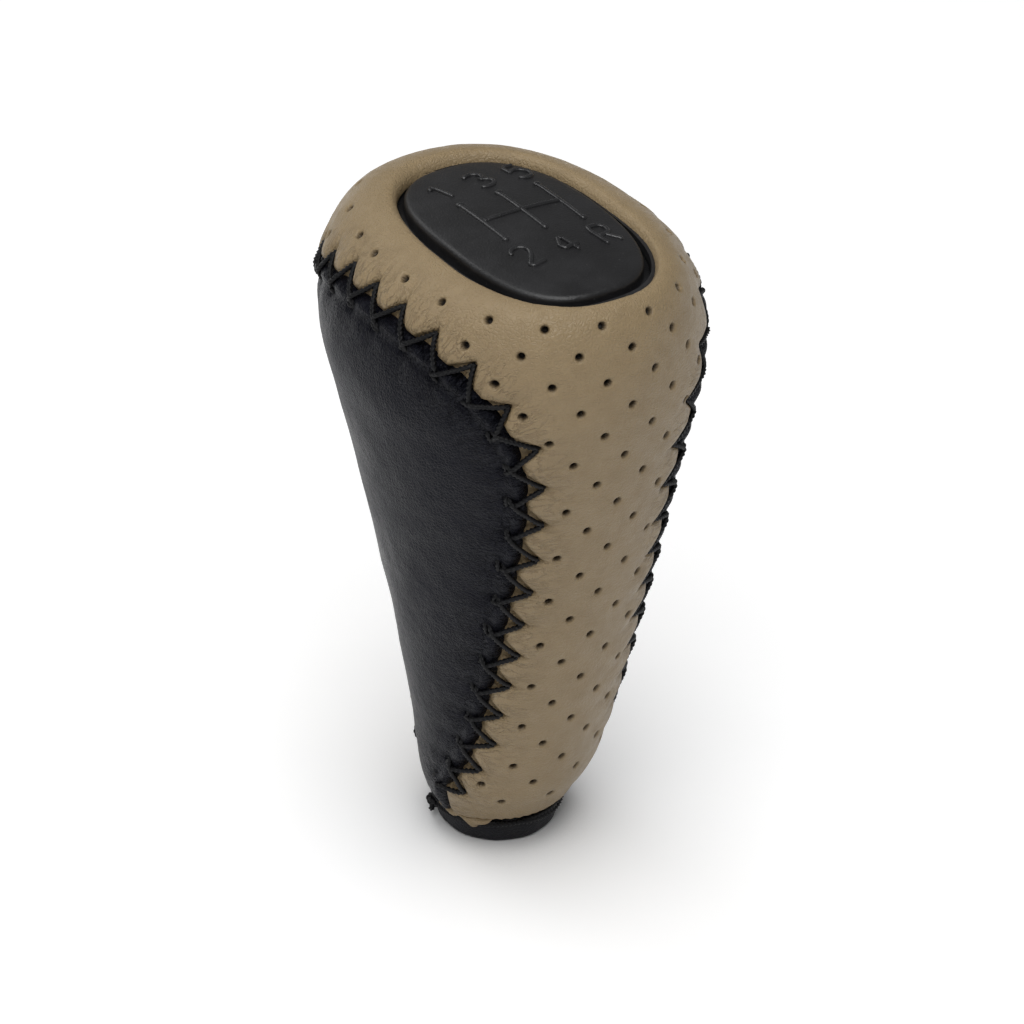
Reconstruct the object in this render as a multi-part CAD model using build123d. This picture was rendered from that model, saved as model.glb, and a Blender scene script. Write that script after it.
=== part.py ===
from build123d import *
import math
import os

# Gear knob with a laced two-tone leather cover and a pressed-in shift plate.
# Origin on the lever axis at the neck face, +Z up, +Y to the front of the car, +X to the right.

# Knob body, measured over the leather (mm)
crown_height = 100.0
rim_drop = 0.7
shoulder_drop = 20.8
base_level = 8.0
foot_level = 13.0
foot_bottom = 4.6
shoulder_power = 1.6
base_front = 10.0
base_rear = 12.5
base_half_width = 12.6
shoulder_front = 28.3
shoulder_rear = 27.6
shoulder_half_width = 24.5
front_flare = 1.75
rear_flare = 0.8
side_flare = 1.05

# Neck, lever socket and neck band
neck_radius = 7.7
socket_radius = 6.0
socket_depth = 42.0
band_radius = 9.0
band_lift = 0.4
band_round = 0.9

# Leather
leather = 1.4
glue_line = 0.1
seam_gap = 0.5
rim_width = 2.4
rim_round = 1.1
hole_edge_gap = 0.5

# Beige tongues and the arched side panels between them
arch_drop = 7.5
arch_power = 2.85
rear_tongue = 12.0
front_tongue = 9.0
tongue_flare_level = 60.0
tongue_spread = 0.75
spread_level = 30.0
rear_cut_angle = 60.0
front_cut_angle = 125.0

# Lacing
stitch_pitch = 6.2
stitch_reach = 2.8
hem_reach = 1.9
notch_depth = 0.7
thread_radius = 0.42
thread_lift = 0.4
lacing_foot = 12.0
knot_radius = 1.0
knot_angle = 105.0

# Shift plate
plate_half_length = 19.5
plate_half_width = 12.0
plate_centre = -1.5
plate_power = 2.6
dome_along = 1.4
dome_across = 1.0
plate_wall = 2.0
plate_round = 0.7
flange_width = 0.8
flange_thickness = 0.6
plug_inset = 2.0
plug_depth = 2.5
plate_clearance = 0.15

crest_level = crown_height - rim_drop
shoulder_level = crown_height - shoulder_drop
arch_top = crown_height - arch_drop
flange_top = crown_height - dome_along - plate_wall
seat_level = flange_top - flange_thickness
far = 4.0 * (shoulder_front + shoulder_rear)


def reaches(level, inset=0.0):
    """Front, rear and side reach of the oval section at a level, each drawn in by the inset."""
    rise = max(level - base_level, 0.0) / (shoulder_level - base_level)
    grip = [
        base_front + (shoulder_front - base_front) * rise**front_flare - inset,
        base_rear + (shoulder_rear - base_rear) * rise**rear_flare - inset,
        base_half_width + (shoulder_half_width - base_half_width) * rise**side_flare - inset,
    ]
    rim = [
        plate_half_length + rim_width + plate_centre,
        plate_half_length + rim_width - plate_centre,
        plate_half_width + rim_width,
    ]
    if level > shoulder_level:
        over = min((level - shoulder_level) / (crest_level - inset - shoulder_level), 1.0)
        keep = (1.0 - over**shoulder_power) ** (1.0 / shoulder_power)
        return [r + (g - r) * keep for g, r in zip(grip, rim)]
    if level < foot_level:
        under = min((foot_level - level) / (foot_level - foot_bottom - inset), 1.0)
        keep = math.sqrt(1.0 - under**2)
        return [band_radius + (g - band_radius) * keep for g in grip]
    return grip


def section(level, inset=0.0):
    """Half length, half width and centre along Y of the oval section at a level."""
    front, rear, side = reaches(level, inset)
    return (front + rear) / 2.0, side, (front - rear) / 2.0


def body(inset):
    """Knob shape as a loft of ovals, drawn in from the outside of the leather by the inset."""
    low = foot_bottom + inset
    high = crest_level - inset
    levels = [foot_level - (foot_level - low) * math.cos(math.radians(a)) for a in (0, 30, 50, 70)]
    levels += [foot_level + (shoulder_level - foot_level) * k / 5.0 for k in range(6)]
    levels += [
        shoulder_level + (high - shoulder_level) * math.sin(math.radians(a)) for a in (18, 36, 52, 68, 80, 90)
    ]
    ovals = []
    for level in levels:
        half_length, half_width, centre = section(level, inset)
        ovals.append(Pos(0, centre, level) * Ellipse(half_width, half_length))
    return loft(ovals)


def surface_point(level, x, front):
    """Point on the outside of the leather at a level and a distance from the middle plane."""
    half_length, half_width, centre = section(level)
    depth = half_length * math.sqrt(max(1.0 - (x / half_width) ** 2, 0.0))
    return Vector(x, centre + depth if front else centre - depth, level)


def surface_normal(point):
    """Outward normal of the leather at a point on it."""

    def form(p):
        half_length, half_width, centre = section(p.Z)
        return (p.X / half_width) ** 2 + ((p.Y - centre) / half_length) ** 2

    step = 0.01
    axes = (Vector(step, 0, 0), Vector(0, step, 0), Vector(0, 0, step))
    return Vector(*[form(point + d) - form(point - d) for d in axes]).normalized()


def on_surface(point, lift=0.0):
    """The point drawn level onto the outside of the leather, then lifted off along the normal."""
    half_length, half_width, centre = section(point.Z)
    size = math.hypot(point.X / half_width, (point.Y - centre) / half_length)
    seated = Vector(point.X / size, centre + (point.Y - centre) / size, point.Z)
    return seated + surface_normal(seated) * lift


def tongue_half_width(level, front, gap=0.0):
    """Half width of the beige tongue at a level; it flares into the arch over the side panel."""
    half = front_tongue + gap
    if not front:
        below = max(spread_level - level, 0.0) / (spread_level - lacing_foot)
        half = rear_tongue + gap + tongue_spread * below**2
    top = arch_top - gap
    arch_half = section(top)[1]
    rise = max(level - tongue_flare_level, 0.0) / (top - tongue_flare_level)
    return half + (arch_half - half) * rise**arch_power


def seam(front, low, gap=0.0, count=24):
    """Points of the left seam from a low level up to the top of the arch."""
    top = arch_top - gap
    points = []
    for k in range(count + 1):
        level = top - (top - low) * (1.0 - k / count) ** 2
        half = min(tongue_half_width(level, front, gap), section(level)[1])
        points.append(surface_point(level, -half, front))
    return points


def seam_cutter(front, gap):
    """Prism over the side panel's half of the seam, cut square to the leather there."""
    turn = math.radians(front_cut_angle if front else rear_cut_angle)
    across = Vector(-math.cos(turn), math.sin(turn), 0)
    inward = Vector(math.sin(turn), math.cos(turn), 0)
    edge = [(p.dot(across), p.Z) for p in seam(front, foot_bottom, gap)]
    reach = -far if front else far
    low = -far
    corners = [edge[-1], (reach, edge[-1][1]), (reach, low), (edge[0][0], low), edge[0]]
    outline = Spline(*edge) + Polyline(*corners)
    plane = Plane(origin=(0, 0, 0), x_dir=across, z_dir=inward)
    return extrude(plane * make_face(outline), amount=far, both=True)


def side_region(gap):
    """Everything over the left side panel, the panel's edge drawn in from the seam by the gap."""
    left_half = Pos(-far / 2.0, 0, 0) * Box(far, 2 * far, 2 * far)
    return seam_cutter(False, gap) & seam_cutter(True, gap) & left_half


class Lacing:
    """Stitch places along the left seam, from the foot at the rear over the arch to the front."""

    def __init__(self):
        self.line = seam(False, lacing_foot) + seam(True, lacing_foot)[-2::-1]
        self.runs = [0.0]
        for a, b in zip(self.line, self.line[1:]):
            self.runs.append(self.runs[-1] + (b - a).length)
        self.count = round(self.runs[-1] / stitch_pitch)
        self.pitch = self.runs[-1] / self.count

    def place(self, along, aside=0.0, lift=0.0):
        """Point at a run along the seam, moved aside into the beige leather and lifted off it."""
        along = min(max(along, 0.0), self.runs[-1])
        k = max(i for i, run in enumerate(self.runs[:-1]) if run <= along)
        a, b = self.line[k], self.line[k + 1]
        point = on_surface(a + (b - a) * ((along - self.runs[k]) / (self.runs[k + 1] - self.runs[k])))
        into_beige = (b - a).cross(surface_normal(point)).normalized()
        return on_surface(point + into_beige * aside, lift)

    def thread(self):
        """Zigzag thread from hem to notch and back, lying on the leather."""
        lift = thread_radius + thread_lift
        points = []
        for k in range(self.count):
            points.append(self.place(k * self.pitch, -hem_reach, lift))
            points.append(self.place((k + 0.5) * self.pitch, stitch_reach, lift))
        points.append(self.place(self.count * self.pitch, -hem_reach, lift))
        path = Polyline(*points)
        start = Plane(origin=points[0], z_dir=points[1] - points[0])
        return sweep(start * RegularPolygon(thread_radius, 6), path=path, transition=Transition.RIGHT)

    def notches(self):
        """Prisms for the notches that the stitches pull into the edge of the beige leather."""
        spread = 0.5 * self.pitch * stitch_reach / (stitch_reach + hem_reach)
        prisms = []
        for k in range(self.count):
            middle = (k + 0.5) * self.pitch
            tip = self.place(middle, stitch_reach)
            feet = [self.place(middle + d, -seam_gap) for d in (-spread, spread)]
            normal = surface_normal(tip)
            lifted = [p + normal * leather for p in (tip, *feet)]
            face = make_face(Polyline(*lifted, close=True))
            prisms.append(extrude(face, amount=leather + notch_depth, dir=-normal))
        return prisms


def oval_plate(grow):
    """Rounded oblong of the shift plate, grown all round."""
    points = []
    for k in range(32):
        turn = 2.0 * math.pi * k / 32
        c = math.cos(turn)
        s = math.sin(turn)
        x = (plate_half_width + grow) * math.copysign(abs(c) ** (2.0 / plate_power), c)
        y = (plate_half_length + grow) * math.copysign(abs(s) ** (2.0 / plate_power), s)
        points.append((x, y + plate_centre))
    return make_face(Spline(*points, periodic=True))


def plate_prism(grow, low, high):
    return extrude(Pos(0, 0, low) * oval_plate(grow), amount=high - low)


def dome():
    """Barrel whose top is the crown of the plate, curved more across than along."""
    along = (plate_half_length**2 + dome_along**2) / (2.0 * dome_along)
    across = (plate_half_width**2 + dome_across**2) / (2.0 * dome_across)
    half = plate_half_length + 3.0 * flange_width
    drop = along - math.sqrt(along**2 - half**2)
    arc = ThreePointArc(
        (plate_centre - half, crown_height - drop),
        (plate_centre, crown_height),
        (plate_centre + half, crown_height - drop),
    )
    axis_level = crown_height - across
    sides = Polyline(arc @ 1, (plate_centre + half, axis_level), (plate_centre - half, axis_level), arc @ 0)
    profile = Plane.YZ * make_face(arc + sides)
    return revolve(profile, axis=Axis((0, 0, axis_level), (0, 1, 0)))


def knob_core():
    """Moulded knob with the lever socket below and the seat of the shift plate on top."""
    core = body(leather + glue_line)
    core += Pos(0, 0, foot_level / 2.0) * Cylinder(neck_radius, foot_level)
    core -= Pos(0, 0, socket_depth / 2.0) * Cylinder(socket_radius, socket_depth)
    core -= plate_prism(flange_width + plate_clearance, seat_level, crown_height)
    core -= plate_prism(plate_clearance - plug_inset, seat_level - plug_depth - plate_clearance, crown_height)
    return core


def shift_plate():
    """Domed plate with a flange under the leather's edge and a plug pressed into the knob."""
    pad = plate_prism(0.0, flange_top, crown_height + dome_along) & dome()
    pad = fillet(pad.faces().sort_by(Axis.Z)[-1].edges(), plate_round)
    flange = plate_prism(flange_width, seat_level, flange_top)
    plug = plate_prism(-plug_inset, seat_level - plug_depth, seat_level)
    return pad + flange + plug


def neck_band():
    """Leather strip rolled round the neck."""
    height = foot_bottom + leather - band_lift
    ring = Cylinder(band_radius, height) - Cylinder(neck_radius + glue_line, height)
    ring = Pos(0, 0, band_lift + height / 2.0) * ring
    return fillet(ring.edges().group_by(Axis.Z)[0].sort_by(SortBy.RADIUS)[-1], band_round)


def neck_tie():
    """Thread tied round the band under the leather, with its knot at the left."""
    ring_radius = band_radius + thread_radius + glue_line
    level = foot_bottom - thread_radius - glue_line
    ring = revolve(Plane.XZ * Pos(ring_radius, level) * RegularPolygon(thread_radius, 6), axis=Axis.Z)
    turn = math.radians(knot_angle)
    knot_run = ring_radius + knot_radius / 2.0
    knot = Pos(-knot_run * math.sin(turn), -knot_run * math.cos(turn), level) * Sphere(knot_radius)
    return ring + knot


def leather_skin():
    """The whole leather cover before it is cut into panels."""
    skin = body(0.0) - body(leather)
    skin -= Pos(0, 0, foot_bottom) * Cylinder(band_radius + glue_line, 4.0 * leather)
    opening = plate_prism(hole_edge_gap, seat_level, crown_height)
    skin -= opening
    lip_length = opening.bounding_box().size.Y
    lip = skin.edges().filter_by(lambda e: abs(e.bounding_box().size.Y - lip_length) < glue_line)
    return fillet(lip.sort_by(Axis.Z)[-1], rim_round)


def mirrored(solid):
    return mirror(solid, Plane.YZ)


skin = leather_skin()
lacing = Lacing()
notches = lacing.notches()
region = side_region(0.0)
side_panel = skin & side_region(seam_gap)
thread = lacing.thread()

nodes = {
    "knob_core": knob_core(),
    "shift_plate": shift_plate(),
    "perforated_panel": skin - [region, mirrored(region)] - [*notches, *map(mirrored, notches)],
    "left_side_panel": side_panel,
    "right_side_panel": mirrored(side_panel),
    "left_lacing": thread,
    "right_lacing": mirrored(thread),
    "neck_band": neck_band(),
    "neck_tie": neck_tie(),
}

os.makedirs("parts", exist_ok=True)
for name, solid in nodes.items():
    export_step(solid, f"parts/{name}.step")
    print(name, round(solid.volume, 1), "mm3", len(solid.solids()), "solid")
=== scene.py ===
import math

import bpy
import numpy as np
from bpy.props import FloatProperty, FloatVectorProperty, IntProperty, PointerProperty
from mathutils import Matrix, Vector, noise
from mathutils.geometry import delaunay_2d_cdt
from mathutils.kdtree import KDTree


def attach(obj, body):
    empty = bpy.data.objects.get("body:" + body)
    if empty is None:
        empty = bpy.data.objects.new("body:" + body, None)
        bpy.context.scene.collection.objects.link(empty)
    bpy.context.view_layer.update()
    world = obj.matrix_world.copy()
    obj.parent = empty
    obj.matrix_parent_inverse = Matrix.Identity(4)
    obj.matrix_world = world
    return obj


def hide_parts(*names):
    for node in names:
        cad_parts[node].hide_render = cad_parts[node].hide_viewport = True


bl_info = {
    "name": "Laced Gear Knob",
    "version": (1, 0, 0),
    "blender": (4, 5, 0),
    "location": "View3D > Sidebar > Gear Knob",
    "description": "Dresses a gear knob with laced two-tone leather, a shift plate and a small studio",
    "category": "Object",
}

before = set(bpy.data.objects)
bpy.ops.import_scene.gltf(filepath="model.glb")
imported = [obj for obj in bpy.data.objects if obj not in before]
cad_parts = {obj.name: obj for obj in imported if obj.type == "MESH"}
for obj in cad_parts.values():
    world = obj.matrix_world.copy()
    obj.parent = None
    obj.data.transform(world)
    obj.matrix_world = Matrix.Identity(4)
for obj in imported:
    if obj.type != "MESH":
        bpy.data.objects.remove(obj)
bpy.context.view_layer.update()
MM = 0.001

# Outside of the leather, in millimetres
CROWN = 100.0
CREST = 99.3
SHOULDER = 79.2
BASE = 8.0
FOOT = 13.0
FOOT_BOTTOM = 4.6
SHOULDER_POWER = 1.6
BASE_REACH = (10.0, 12.5, 12.6)
SHOULDER_REACH = (28.3, 27.6, 24.5)
FLARE = (1.75, 0.8, 1.05)
BAND_RADIUS = 9.0
NECK_RADIUS = 7.7

# Shift plate and the rim round it
PLATE_LENGTH = 19.5
PLATE_WIDTH = 12.0
PLATE_CENTRE = -1.5
PLATE_POWER = 2.6
DOME_ALONG = 1.4
DOME_ACROSS = 1.0
PLATE_ROUND = 0.7
PLUG_INSET = 2.0
PLUG_DEPTH = 2.4
FLANGE_WIDTH = 0.8
FLANGE_TOP = 96.6
SEAT = 96.0
RIM_WIDTH = 2.4
RIM_POWER = 2.35
OPENING_GAP = 0.8
ROLL_DROP = 2.3

# Seam between the beige tongues and the side panels
ARCH_TOP = 92.5
ARCH_POWER = 2.85
REAR_TONGUE = 12.0
FRONT_TONGUE = 9.0
TONGUE_FLARE = 60.0
TONGUE_SPREAD = 0.75
SPREAD_LEVEL = 30.0
LACING_FOOT = 12.0
BLACK_LAP = 0.55
FLAT_SCALE = 20.0

# Distances from the leather's edges at which the meshes get a strip of points
TOOTH_STRIPS = (-1.4, -0.8, -0.35, -0.08, 0.1, 0.22, 0.38, 0.6, 0.95, 1.4, 2.0, 2.8, 3.7)
HEM_STRIPS = (-0.4, -0.22, -0.04, 0.16, 0.36, 0.6, 0.85, 1.2, 1.6, 2.0, 2.4, 2.8, 3.4, 4.2, 5.1)

# Punched holes: levels of the first and last row, rings of points and sink by share of the radius
HOLE_TOP = 96.8
HOLE_BOTTOM = 8.0
HOLE_SPLIT = 0.55 * np.pi
HOLE_RINGS = ((0.8, 10), (0.97, 10), (1.18, 12), (1.6, 12), (2.2, 12))
PIT_SHARE = (0.0, 0.82, 0.95, 1.15, 1.5, 2.1)
PIT_SINK = (-1.25, -1.25, -0.6, -0.2, -0.06, 0.0)
# Painted shade inside the punched holes
HOLE_SHADE = (0.012, 0.008, 0.005)


def length(label, description, default, least=0.0):
    """A size property in metres whose default is given in millimetres."""
    return FloatProperty(name=label, description=description, default=default * MM, min=least, unit="LENGTH")


def heading(label, description, degrees):
    return FloatProperty(name=label, description=description, default=math.radians(degrees), subtype="ANGLE")


def wattage(label, description, default):
    return FloatProperty(name=label, description=description, default=default, unit="POWER")


def colour(label, description, default):
    return FloatVectorProperty(
        name=label, description=description, default=default, size=3, min=0.0, max=1.0, subtype="COLOR"
    )


class KnobLeatherSettings(bpy.types.PropertyGroup):
    """Cut, puff and colour of the leather panels."""

    beige: colour("Beige", "Colour of the perforated leather", (0.372, 0.274, 0.153))
    # Beige creases colour: painted shade in the crease lines near the seam, and the tone of random darker
    # patches
    beige_shade_and_tone: colour(
        "Beige creases", "Colour in the creases and pores of the beige leather", (0.200, 0.138, 0.070)
    )
    black: colour("Black", "Colour of the side panels", (0.0026, 0.0027, 0.0048))
    hole_radius: length("Hole radius", "Radius of a punched hole", 0.48)
    hole_pitch: length("Hole pitch", "Spacing of the holes along a row", 7.5)
    row_pitch: length("Row pitch", "Spacing of the rows of holes", 4.2)
    hole_margin: length("Hole margin", "Least distance of a hole from the seam", 3.3)
    puff: length("Puff", "Height of the leather between two stitches", 0.6)
    hem_depth: length("Hem depth", "Depth of the turned hem under the notches", 0.75)
    lip: length("Lip", "Height of the rolled edge of the side panels", 0.66)


class KnobLacingSettings(bpy.types.PropertyGroup):
    """Thread and stitches of the lacing."""

    thread: colour("Thread", "Colour of the lacing thread", (0.0022, 0.0022, 0.0028))
    radius: length("Thread radius", "Radius of the twisted thread", 0.36)
    stitches: IntProperty(name="Stitches", description="Stitches along each seam", default=33, min=8)
    reach: length("Stitch reach", "Reach of a stitch into the beige leather", 2.9)
    hem_reach: length("Hem reach", "Reach of a stitch into the side panel", 2.0)
    tooth: length("Tooth width", "Width of the leather left between two notches at the seam", 1.7)
    twist: length("Twist", "Length of one turn of the thread's strands", 1.9)


class KnobPlateSettings(bpy.types.PropertyGroup):
    """Shift plate with its raised gate and numbers."""

    plastic: colour("Plastic", "Colour of the moulded plate", (0.0105, 0.0105, 0.0115))
    gate_arm: length("Gate arm", "Length of a gate arm from the cross bar", 5.55)
    gate_column: length("Gate column", "Spacing of the gate arms", 6.2)
    gate_forward: length("Gate forward", "Distance of the cross bar in front of the plate's middle", 2.1)
    gate_right: length("Gate right", "Distance of the middle arm to the right", 1.2, least=-1.0)
    line_width: length("Line width", "Width of a raised line", 0.75)
    relief: length("Relief", "Height of the raised lines and numbers", 0.36)
    digit_height: length("Digit height", "Height of a number", 4.6)
    digit_offset: length("Digit offset", "Distance of the numbers from the cross bar", 10.3)
    digit_turn: heading("Digit turn", "Turn of the numbers on the plate", 10.0)


class KnobStageSettings(bpy.types.PropertyGroup):
    """Camera, floor and lights."""

    azimuth: heading("Azimuth", "Turn of the camera round the knob", -34.648)
    elevation: heading("Elevation", "Camera's angle above the floor", 33.819)
    roll: heading("Roll", "Turn of the picture", 1.996)
    distance: length("Distance", "Distance of the camera from its target", 480.0)
    target_side: length("Target side", "Target's distance to the right of the lever axis", 0.79)
    target_level: length("Target level", "Target's height", 52.261)
    lens: FloatProperty(
        name="Lens", description="Focal length of the camera in millimetres", default=120.2, min=1.0
    )
    key_power: wattage("Key light", "Power of the main soft light", 6.2)
    fill_power: wattage("Fill light", "Power of the fill light", 0.1)
    back_power: wattage("Back light", "Power of the back light", 1.5)
    ambient: FloatProperty(
        name="Ambient", description="Strength of the surrounding light", default=0.17, min=0.0
    )
    floor: colour("Floor", "Colour of the floor", (0.8, 0.8, 0.8))


def mm(value):
    return value / MM


def reaches(level):
    """Front, rear and side reach of the leather at each level."""
    level = np.asarray(level, float)
    rise = np.clip(level - BASE, 0.0, None) / (SHOULDER - BASE)
    grip = np.stack([b + (s - b) * rise**p for b, s, p in zip(BASE_REACH, SHOULDER_REACH, FLARE)])
    rim = np.array(
        [
            PLATE_LENGTH + RIM_WIDTH + PLATE_CENTRE,
            PLATE_LENGTH + RIM_WIDTH - PLATE_CENTRE,
            PLATE_WIDTH + RIM_WIDTH,
        ]
    )[:, None]
    over = np.clip((level - SHOULDER) / (CREST - SHOULDER), 0.0, 1.0)
    under = np.clip((FOOT - level) / (FOOT - FOOT_BOTTOM), 0.0, 1.0)
    top = rim + (grip - rim) * (1.0 - over**SHOULDER_POWER) ** (1.0 / SHOULDER_POWER)
    low = BAND_RADIUS + (grip - BAND_RADIUS) * np.sqrt(1.0 - under**2)
    return np.where(level > SHOULDER, top, np.where(level < FOOT, low, grip))


def signed_power(value, power):
    return np.sign(value) * np.abs(value) ** power


class Skin:
    """Outside of the leather: a point for each turn round the lever axis and rise along the leather."""

    def __init__(self):
        quarter = np.pi / 2.0
        foot = FOOT - (FOOT - FOOT_BOTTOM) * np.cos(np.linspace(0.0, quarter, 60))
        grip = np.linspace(FOOT, SHOULDER, 220)[1:]
        over = np.sin(np.linspace(0.0, quarter, 160))[1:]
        level = np.concatenate([foot, grip, SHOULDER + (CREST - SHOULDER) * over])
        reach = reaches(level)
        power = np.concatenate([np.full(foot.size + grip.size, 2.0), 2.0 + (RIM_POWER - 2.0) * over**3])
        turn_in = np.linspace(0.0, 1.0, 40)[1:]
        bend = turn_in * quarter
        self.up_count = level.size
        self.reach = np.hstack([reach, reach[:, -1:] - (RIM_WIDTH - OPENING_GAP) * np.sin(bend)])
        self.level = np.concatenate([level, CREST - ROLL_DROP * (1.0 - np.cos(bend))])
        self.power = np.concatenate([power, RIM_POWER + (PLATE_POWER - RIM_POWER) * turn_in])
        mean = self.reach.mean(axis=0)
        steps = np.hypot(np.diff(mean), np.diff(self.level))
        self.rise = np.concatenate([[0.0], np.cumsum(steps)])
        self.top = self.rise[-1]
        self.crest = self.rise[self.up_count - 1]

    def rise_at(self, level):
        return np.interp(level, self.level[: self.up_count], self.rise[: self.up_count])

    def at(self, turn, rise):
        front, rear, side = (np.interp(rise, self.rise, r) for r in self.reach)
        level = np.interp(rise, self.rise, self.level)
        power = 2.0 / np.interp(rise, self.rise, self.power)
        x = side * signed_power(np.sin(turn), power)
        y = (front - rear) / 2.0 - (front + rear) / 2.0 * signed_power(np.cos(turn), power)
        return np.stack([x, y, level], axis=-1)

    def over(self, flat):
        """Points at pairs of turn and rise."""
        return self.at(flat[:, 0], flat[:, 1])

    def slopes(self, turn, rise):
        """Change of the point with the turn and with the rise."""
        by_turn = (self.at(turn + 0.002, rise) - self.at(turn - 0.002, rise)) / 0.004
        by_rise = (self.at(turn, rise + 0.05) - self.at(turn, rise - 0.05)) / 0.1
        return by_turn, by_rise

    def normal(self, turn, rise):
        by_turn, by_rise = self.slopes(turn, rise)
        out = np.cross(by_turn, by_rise)
        return out / np.linalg.norm(out, axis=-1, keepdims=True)

    def lifted(self, turn, rise, lift):
        return self.at(turn, rise) + self.normal(turn, rise) * np.asarray(lift)[..., None]


def tongue_half_width(level, front):
    """Half width of the beige tongue at each level; it flares into the arch over the side panel."""
    below = np.clip(SPREAD_LEVEL - level, 0.0, None) / (SPREAD_LEVEL - LACING_FOOT)
    half = FRONT_TONGUE + 0.0 * level if front else REAR_TONGUE + TONGUE_SPREAD * below**2
    rise = np.clip(level - TONGUE_FLARE, 0.0, None) / (ARCH_TOP - TONGUE_FLARE)
    return half + (reaches(np.array([ARCH_TOP]))[2, 0] - half) * rise**ARCH_POWER


class Seam:
    """Left seam, run from the rear foot over the arch to the front foot, with its stitch places."""

    def __init__(self, skin, lacing):
        self.skin = skin
        level = ARCH_TOP - (ARCH_TOP - LACING_FOOT) * (1.0 - np.linspace(0.0, 1.0, 500)) ** 2
        side = reaches(level)[2]
        bends = [
            np.arcsin(np.clip(tongue_half_width(level, front) / side, 0.0, 1.0))
            for front in (False, True)
        ]
        rise = skin.rise_at(level)
        below = np.linspace(0.0, rise[0], 40)[:-1]
        rear = np.concatenate([np.full(below.size, -bends[0][0]), -bends[0]])
        front = np.concatenate([np.full(below.size, bends[1][0] - np.pi), bends[1] - np.pi])
        turn = np.concatenate([rear, front[::-1][1:]])
        rise = np.concatenate([below, rise])
        rise = np.concatenate([rise, rise[::-1][1:]])
        run = self.runs(skin.at(turn, rise))
        foot = run[below.size]
        self.total = run[-1] - 2.0 * foot
        self.run = np.arange(-foot, self.total + foot, 0.1)
        self.turn = np.interp(self.run, run - foot, turn)
        self.rise = np.interp(self.run, run - foot, rise)
        self.points = skin.at(self.turn, self.rise)
        self.along = np.gradient(self.points, axis=0)
        self.along /= np.linalg.norm(self.along, axis=1, keepdims=True)
        self.aside = np.cross(self.along, skin.normal(self.turn, self.rise))
        by_turn, by_rise = skin.slopes(self.turn, self.rise)
        tt, rr, tr = ((a * b).sum(1) for a, b in ((by_turn, by_turn), (by_rise, by_rise), (by_turn, by_rise)))
        at, ar = (by_turn * self.aside).sum(1), (by_rise * self.aside).sum(1)
        self.aside_turn = (at * rr - ar * tr) / (tt * rr - tr * tr)
        self.aside_rise = (ar * tt - at * tr) / (tt * rr - tr * tr)
        self.tree = tree_of(self.points)
        self.count = lacing.stitches
        self.pitch = self.total / self.count
        self.reach = mm(lacing.reach)
        self.spread = (self.pitch - mm(lacing.tooth)) / 2.0

    @staticmethod
    def runs(points):
        return np.concatenate([[0.0], np.cumsum(np.linalg.norm(np.diff(points, axis=0), axis=1))])

    def place(self, run, aside):
        """Turn and rise at a run along the seam and a distance into the beige leather."""
        turn = np.interp(run, self.run, self.turn) + aside * np.interp(run, self.run, self.aside_turn)
        rise = np.interp(run, self.run, self.rise) + aside * np.interp(run, self.run, self.aside_rise)
        return turn, np.clip(rise, 0.0, self.skin.top)

    def strip(self, run, aside):
        """Pairs of turn and rise along the seam at a distance into the beige leather."""
        return np.stack(self.place(run, aside), axis=1)

    def measure(self, points):
        """Run along the seam and signed distance into the beige leather of points on either side."""
        left = points.copy()
        left[:, 0] = -np.abs(left[:, 0])
        found = np.array([self.tree.find(p)[1] for p in left])
        gap = left - self.points[found]
        aside = (gap * self.aside[found]).sum(1)
        across = np.linalg.norm(gap, axis=1)
        along = (gap * self.along[found]).sum(1)
        sign = np.where(aside < 0.0, -1.0, 1.0)
        square = np.sqrt(np.clip(across**2 - along**2, 0, None))
        return self.run[found] + along, sign * np.maximum(np.abs(aside), square)

    def skew(self, run):
        """Lean of the stitches, which lie over more and more down the rear seam."""
        return 0.55 * np.clip((95.0 - run) / 40.0, 0.0, 1.0)

    def stitch(self, run):
        """Index of the stitch at a run and the distance from its middle."""
        index = np.clip(np.floor(run / self.pitch), 0, self.count - 1)
        return index, run - (index + 0.5) * self.pitch

    def stitch_reach(self, index):
        return self.reach * (1.0 + 0.12 * np.sin(index * 12.9898) * np.sin(index * 3.7 + 1.0))

    def notch(self, run):
        """Depth of the notch that the stitches pull into the beige edge at a run."""
        index, offset = self.stitch(run)
        lean = self.skew((index + 0.5) * self.pitch) * self.spread
        offset = offset + lean
        foot = np.where(offset < 0.0, self.spread - lean, self.spread + lean)
        depth = self.stitch_reach(index) * np.clip(1.0 - np.abs(offset) / foot, 0.0, 1.0) ** 1.05
        return np.where((run > 0.0) & (run < self.total), depth, 0.0)

    def laced(self, run):
        """One along the laced part of the seam, falling to nought at both ends."""
        return np.clip(run / 2.0, 0.0, 1.0) * np.clip((self.total - run) / 2.0, 0.0, 1.0)

    def tip(self, index):
        """Run of the tip of a stitch's notch."""
        middle = (index + 0.5) * self.pitch
        return middle - self.skew(middle) * self.spread


def tree_of(points):
    tree = KDTree(len(points))
    for index, point in enumerate(points):
        tree.insert(point, index)
    tree.balance()
    return tree


def hill(value, middle, width):
    """Smooth bump of height one about a middle value."""
    return np.exp(-(((value - middle) / width) ** 2))


def unevenness(points, size, seed):
    """Slow swell of hand-pulled leather."""
    shift = Vector((seed * 7.3, seed * 3.1, seed * 5.7))
    return np.array([noise.noise(Vector(p) / size + shift) for p in points])


def new_object(name, points, faces, smooth=True):
    """Mesh object from points in millimetres."""
    mesh = bpy.data.meshes.new(name)
    mesh.from_pydata((np.asarray(points) * MM).tolist(), [], [list(map(int, f)) for f in faces])
    mesh.validate()
    mesh.polygons.foreach_set("use_smooth", [smooth] * len(mesh.polygons))
    mesh.update()
    obj = bpy.data.objects.new(name, mesh)
    bpy.context.scene.collection.objects.link(obj)
    return obj


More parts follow.
